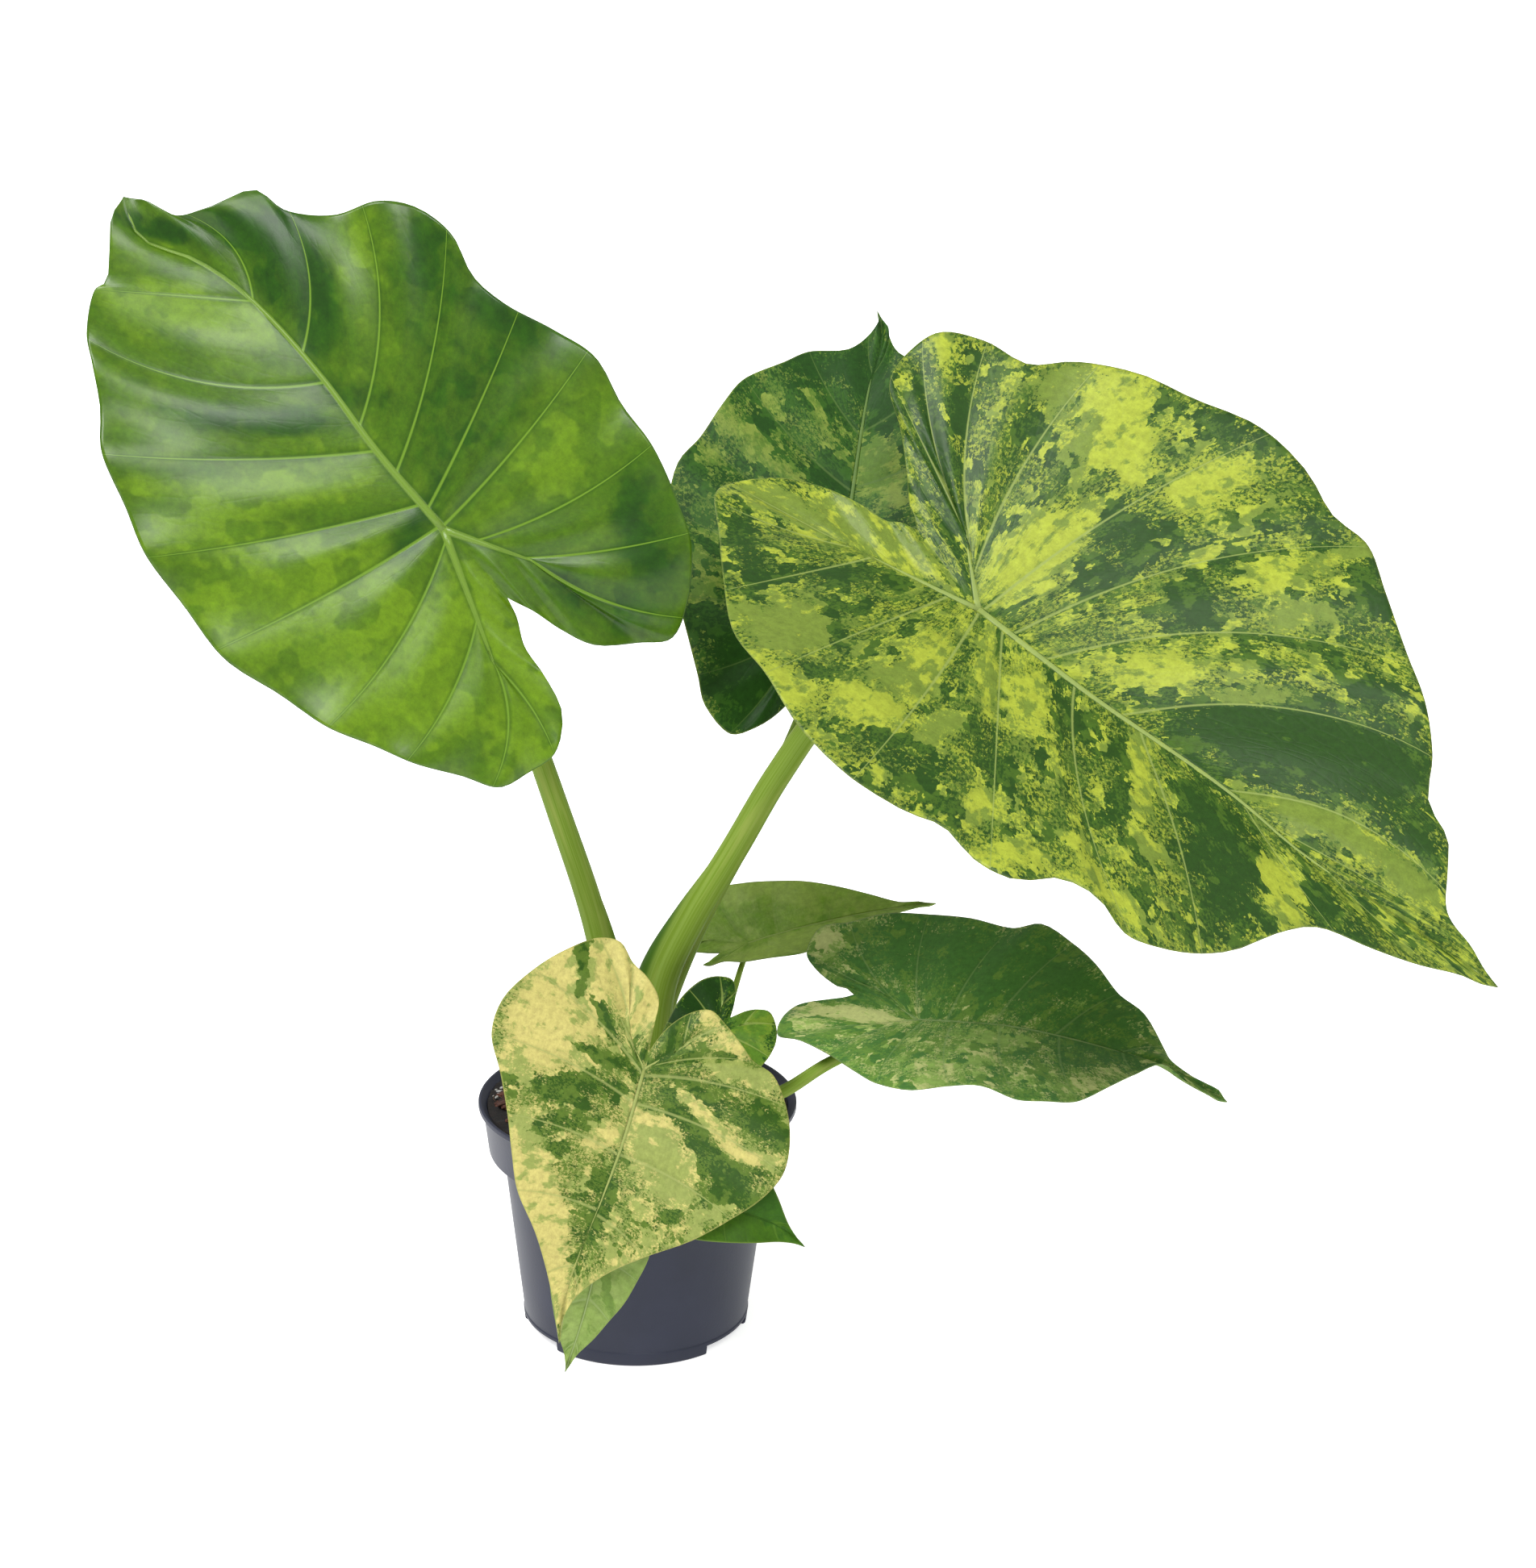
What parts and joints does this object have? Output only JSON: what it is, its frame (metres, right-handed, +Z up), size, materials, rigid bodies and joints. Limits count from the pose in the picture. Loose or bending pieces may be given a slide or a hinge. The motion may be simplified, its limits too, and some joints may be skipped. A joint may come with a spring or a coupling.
{
  "type": "giant taro in a nursery pot",
  "caption": "Young giant taro: broad heart-shaped leaves with waved edges, streaked dark green, lime and cream, on thick stalks in a round dark grey nursery pot of soil",
  "frame": {"origin": "centre of the pot's underside, on the surface the pot stands on", "axes": "+Z up the pot's axis; -Y towards the front, where the small front leaf hangs over the rim; +X towards the large right leaf"},
  "size_m": [0.5721, 0.3298, 0.4933],
  "materials": {
    "pot": "satin moulded plastic",
    "soil": "rough, bark and grit",
    "crown": "smooth, fleshy",
    "stalk": "smooth, fleshy",
    "leaf_green": "satin, waxy",
    "leaf_lime": "satin, waxy, variegated",
    "leaf_dark": "satin, waxy, variegated",
    "leaf_cream": "satin, waxy, variegated",
    "leaf_pale": "matte"
  },
  "bodies": {
    "root": {"pot": "pot", "soil": "soil", "crown": "crown", "stalk_left": "stalk", "stalk_right": "stalk", "stalk_back": "stalk", "stalk_small_right": "stalk", "stalk_front": "stalk", "stalk_small_back": "stalk", "stalk_inner": "stalk", "stalk_low_right": "stalk", "stalk_low_left": "stalk", "blade_left": "leaf_green", "blade_right": "leaf_lime", "blade_back": "leaf_dark", "blade_small_right": "leaf_dark", "blade_front": "leaf_cream", "blade_small_back": "leaf_green", "blade_inner": "leaf_dark", "blade_low_right": "leaf_green", "blade_low_left": "leaf_pale"}
  },
  "joints": []
}
